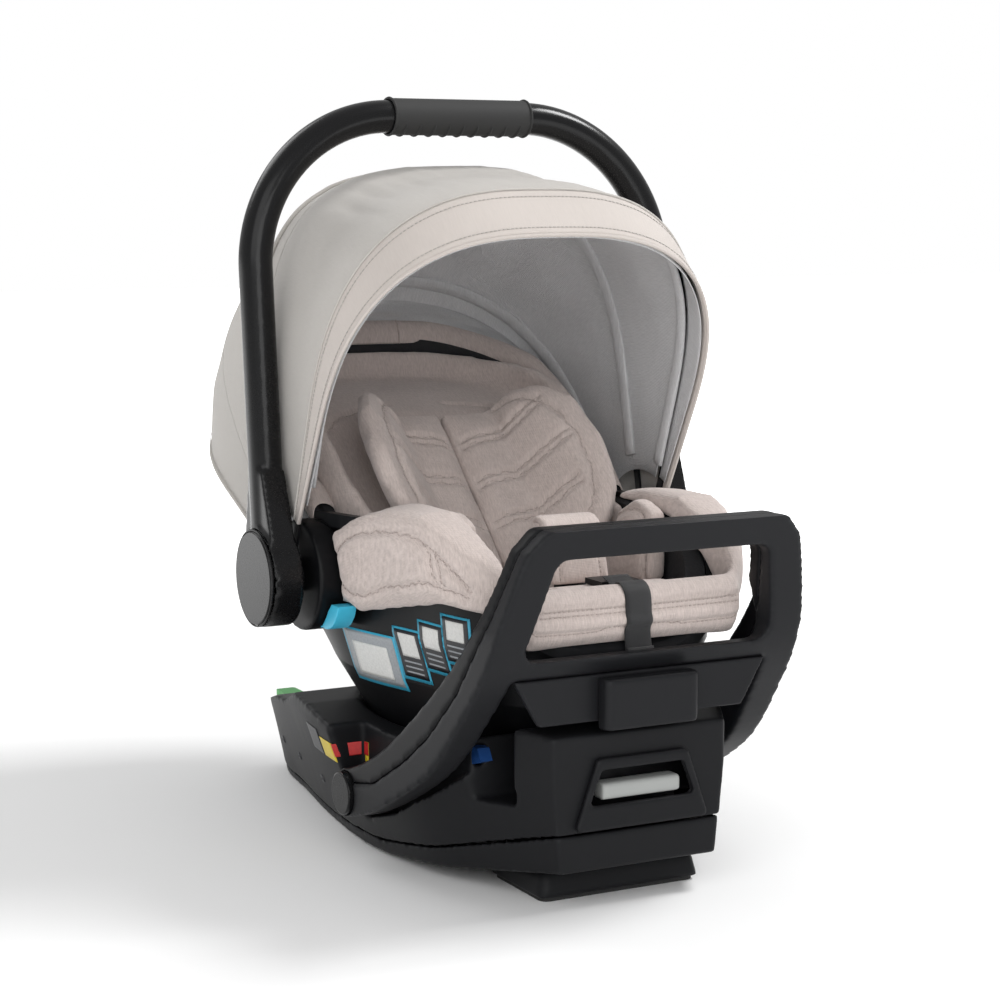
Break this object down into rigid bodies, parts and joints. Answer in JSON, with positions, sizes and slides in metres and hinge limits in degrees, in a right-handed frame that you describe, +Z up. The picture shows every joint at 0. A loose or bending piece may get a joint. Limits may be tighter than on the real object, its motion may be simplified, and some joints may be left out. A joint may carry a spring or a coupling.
{
  "type": "infant car seat",
  "caption": "Infant car seat on its base: padded carrier with folding canopy and carry handle, recline foot and anti-rebound bar.",
  "frame": {"origin": "on the floor under the middle of the object's box", "axes": "+Z up, -Y towards the foot end where the anti-rebound bar stands, +X to the right seen from the foot end"},
  "size_m": [0.4438, 0.6444, 0.6679],
  "materials": {
    "base_plastic": "satin",
    "bar_plastic": "satin",
    "shell_plastic": "satin",
    "handle_plastic": "satin",
    "grip_rubber": "matte",
    "belt_blue": "satin",
    "guide_cyan": "satin",
    "lock_green": "satin",
    "buckle_red": "gloss",
    "handle_grey": "satin",
    "steel": "satin",
    "foam": "matte",
    "canopy_fabric": "matte",
    "canopy_bow_plastic": "satin",
    "seat_fabric": "matte",
    "webbing": "matte"
  },
  "bodies": {
    "base": {"base_lower_shell": "base_plastic", "base_upper_cover": "base_plastic", "base_front_panel": "bar_plastic", "belt_hook_left": "belt_blue", "belt_hook_right": "belt_blue", "base_hook_front": "steel", "base_hook_rear": "steel"},
    "recline_foot": {"recline_foot": "bar_plastic", "foot_pad": "grip_rubber"},
    "recline_handle": {"recline_handle": "handle_grey"},
    "belt_lock_button": {"belt_lock_button": "lock_green"},
    "bar": {"bar_front_frame": "bar_plastic", "bar_rear_shell": "bar_plastic", "bar_cross_panel": "bar_plastic", "bar_latch_block": "bar_plastic"},
    "bar_button_left": {"bar_button_left": "handle_plastic"},
    "bar_button_right": {"bar_button_right": "handle_plastic"},
    "carrier": {"carrier_shell": "shell_plastic", "shell_rim": "shell_plastic", "foam_liner": "foam", "seat_pad": "seat_fabric", "back_pad": "seat_fabric", "front_roll": "seat_fabric", "insert_back": "seat_fabric", "side_flap_left": "seat_fabric", "side_flap_right": "seat_fabric", "hip_bolster_left": "seat_fabric", "hip_bolster_right": "seat_fabric", "insert_wing_left": "seat_fabric", "insert_wing_right": "seat_fabric", "hub_mount_left": "shell_plastic", "hub_mount_right": "shell_plastic", "hub_pin_left": "steel", "hub_pin_right": "steel", "carrier_guide_left": "guide_cyan", "carrier_guide_right": "guide_cyan", "shoulder_strap_left": "webbing", "shoulder_strap_right": "webbing", "latch_bar_front": "steel", "latch_bar_rear": "steel", "chest_clip": "shell_plastic", "crotch_strap": "webbing", "buckle": "shell_plastic", "buckle_cover": "seat_fabric", "harness_adjuster": "shell_plastic", "adjuster_strap": "webbing", "canopy_rear_panel": "canopy_fabric", "canopy_rear_bow": "canopy_bow_plastic"},
    "buckle_button": {"buckle_button": "buckle_red"},
    "carrier_lever": {"carrier_lever": "shell_plastic"},
    "canopy_mid": {"canopy_mid_bow": "canopy_bow_plastic", "canopy_mid_panel": "canopy_fabric"},
    "canopy_front": {"canopy_front_bow": "canopy_bow_plastic", "canopy_front_panel": "canopy_fabric"},
    "handle": {"handle_frame": "handle_plastic", "handle_grip": "grip_rubber"},
    "handle_button_left": {"handle_button_left": "handle_plastic"},
    "handle_button_right": {"handle_button_right": "handle_plastic"}
  },
  "joints": [
    {"name": "carrier_lift", "type": "slide", "parent": "base", "child": "carrier", "axis": [0, 0, 1], "range_m": [0, 0.22], "deforming": ["adjuster_strap"]},
    {"name": "handle_turn", "type": "hinge", "parent": "carrier", "child": "handle", "pos_m": [0, 0.024, 0.244], "axis": [1, 0, 0], "range_deg": [-60, 90]},
    {"name": "handle_button_left_press", "type": "slide", "parent": "handle", "child": "handle_button_left", "axis": [1, 0, 0], "range_m": [0, 0.003], "stiffness_N_per_m": 600, "springref_m": -0.001},
    {"name": "handle_button_right_press", "type": "slide", "parent": "handle", "child": "handle_button_right", "axis": [-1, 0, 0], "range_m": [0, 0.003], "stiffness_N_per_m": 600, "springref_m": -0.001},
    {"name": "canopy_fold", "type": "hinge", "parent": "carrier", "child": "canopy_mid", "pos_m": [0, 0.024, 0.244], "axis": [-1, 0, 0], "range_deg": [0, 27], "deforming": ["canopy_mid_panel"]},
    {"name": "canopy_front_fold", "type": "hinge", "parent": "canopy_mid", "child": "canopy_front", "pos_m": [0, 0.024, 0.244], "axis": [-1, 0, 0], "range_deg": [0, 26.2], "deforming": ["canopy_front_panel"]},
    {"name": "bar_slide", "type": "slide", "parent": "base", "child": "bar", "axis": [0, -0.6428, 0.766], "range_m": [0, 0.15]},
    {"name": "bar_button_left_press", "type": "slide", "parent": "bar", "child": "bar_button_left", "axis": [1, 0, 0], "range_m": [0, 0.0025], "stiffness_N_per_m": 600, "springref_m": -0.001},
    {"name": "bar_button_right_press", "type": "slide", "parent": "bar", "child": "bar_button_right", "axis": [-1, 0, 0], "range_m": [0, 0.0025], "stiffness_N_per_m": 600, "springref_m": -0.001},
    {"name": "foot_slide", "type": "slide", "parent": "base", "child": "recline_foot", "axis": [0, 0, -1], "range_m": [0, 0.02]},
    {"name": "recline_squeeze", "type": "slide", "parent": "base", "child": "recline_handle", "axis": [0, 0, 1], "range_m": [0, 0.008], "stiffness_N_per_m": 500, "springref_m": -0.002},
    {"name": "belt_lock_press", "type": "slide", "parent": "base", "child": "belt_lock_button", "axis": [0, 0, -1], "range_m": [0, 0.004], "stiffness_N_per_m": 500, "springref_m": -0.002},
    {"name": "buckle_press", "type": "slide", "parent": "carrier", "child": "buckle_button", "axis": [0, 0.9383, -0.3457], "range_m": [0, 0.003], "stiffness_N_per_m": 500, "springref_m": -0.001},
    {"name": "carrier_lever_pull", "type": "slide", "parent": "carrier", "child": "carrier_lever", "axis": [0, 0.6, 0.8], "range_m": [0, 0.01], "stiffness_N_per_m": 500, "springref_m": -0.002}
  ],
  "couplings": [
    {"joint": "canopy_front_fold", "follows": "canopy_fold", "ratio": 0.963}
  ]
}
